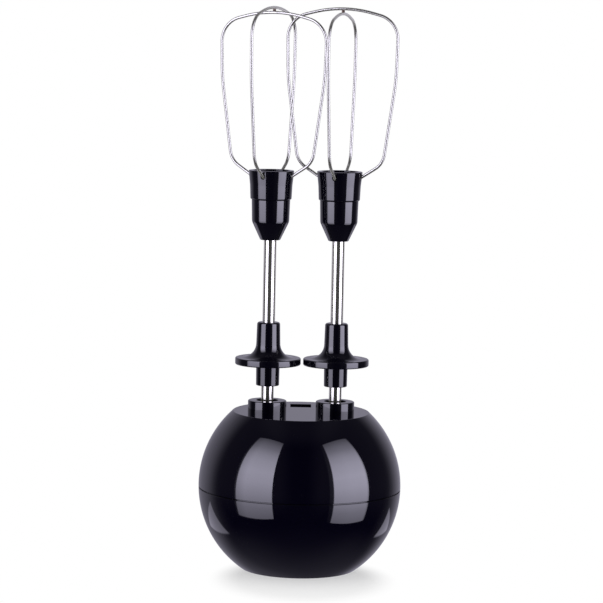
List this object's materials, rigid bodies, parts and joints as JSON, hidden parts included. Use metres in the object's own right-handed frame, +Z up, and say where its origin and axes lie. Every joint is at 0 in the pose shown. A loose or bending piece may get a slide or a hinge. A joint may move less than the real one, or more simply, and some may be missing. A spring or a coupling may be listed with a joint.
{
  "type": "twin whisk mixer head",
  "caption": "Round black gearbox head of a hand mixer, standing on its flat foot, with wire whisks on steel shafts that pull out of its top.",
  "frame": {"origin": "on the table, under the middle of the ball, which is the middle of the foot and the bottom centre of the bounding box", "axes": "+Z up along the whisk shafts, +X towards the right whisk, -Y towards the front"},
  "size_m": [0.1, 0.1, 0.2772],
  "materials": {
    "ball_plastic": "polished black moulding",
    "whisk_plastic": "polished black moulding",
    "chromed_steel": "bright chromed steel",
    "seal_rubber": "matt black rubber",
    "bush_brass": "sintered bronze bush",
    "plate_aluminium": "stamped plate",
    "machined_steel": "turned steel",
    "gear_nylon": "natural acetal moulding"
  },
  "bodies": {
    "housing": {"upper_shell": "ball_plastic", "lower_shell": "ball_plastic", "gear_plate": "gear_nylon", "bridge_plate": "plate_aluminium", "plate_screws": "machined_steel", "bridge_screws": "machined_steel", "base_screws": "machined_steel", "input_bush_lower": "bush_brass", "input_bush_upper": "bush_brass", "input_washer": "machined_steel", "idler_axle": "machined_steel", "idler_washers": "machined_steel", "left_bush_upper": "bush_brass", "left_bush_lower": "bush_brass", "left_shaft_seal": "seal_rubber", "right_bush_upper": "bush_brass", "right_bush_lower": "bush_brass", "right_shaft_seal": "seal_rubber"},
    "input_drive": {"drive_coupling": "gear_nylon", "input_shaft": "machined_steel", "input_pinion": "gear_nylon", "input_clip": "machined_steel"},
    "idler": {"idler_gear": "gear_nylon"},
    "left_output": {"left_output_gear": "gear_nylon", "left_spindle": "machined_steel", "left_spindle_clip": "machined_steel", "left_grip_ring": "machined_steel"},
    "right_output": {"right_output_gear": "gear_nylon", "right_spindle": "machined_steel", "right_spindle_clip": "machined_steel", "right_grip_ring": "machined_steel"},
    "left_whisk": {"left_whisk_shaft": "chromed_steel", "left_flange_hub": "whisk_plastic", "left_cup": "whisk_plastic", "left_cup_ring": "whisk_plastic", "left_wire_plug": "whisk_plastic", "left_outer_loop": "chromed_steel", "left_inner_loop": "chromed_steel", "left_tip_weld": "chromed_steel"},
    "right_whisk": {"right_whisk_shaft": "chromed_steel", "right_flange_hub": "whisk_plastic", "right_cup": "whisk_plastic", "right_cup_ring": "whisk_plastic", "right_wire_plug": "whisk_plastic", "right_outer_loop": "chromed_steel", "right_inner_loop": "chromed_steel", "right_tip_weld": "chromed_steel"}
  },
  "joints": [
    {"name": "left_output_spin", "type": "hinge", "parent": "housing", "child": "left_output", "pos_m": [-0.01675, 0, 0.05825], "axis": [0, 0, 1], "continuous": true},
    {"name": "right_output_spin", "type": "hinge", "parent": "housing", "child": "right_output", "pos_m": [0.01675, 0, 0.05825], "axis": [0, 0, 1], "continuous": true},
    {"name": "idler_spin", "type": "hinge", "parent": "housing", "child": "idler", "pos_m": [-0.008, 0.02227, 0.05825], "axis": [0, 0, 1], "continuous": true},
    {"name": "input_spin", "type": "hinge", "parent": "housing", "child": "input_drive", "pos_m": [0, 0, 0.05825], "axis": [0, 0, 1], "continuous": true},
    {"name": "left_whisk_pull", "type": "slide", "parent": "left_output", "child": "left_whisk", "axis": [0, 0, 1], "range_m": [0, 0.0235]},
    {"name": "right_whisk_pull", "type": "slide", "parent": "right_output", "child": "right_whisk", "axis": [0, 0, 1], "range_m": [0, 0.0235]}
  ],
  "couplings": [
    {"joint": "right_output_spin", "follows": "left_output_spin", "ratio": -1},
    {"joint": "idler_spin", "follows": "left_output_spin", "ratio": -2.3333},
    {"joint": "input_spin", "follows": "left_output_spin", "ratio": 8.1667}
  ]
}
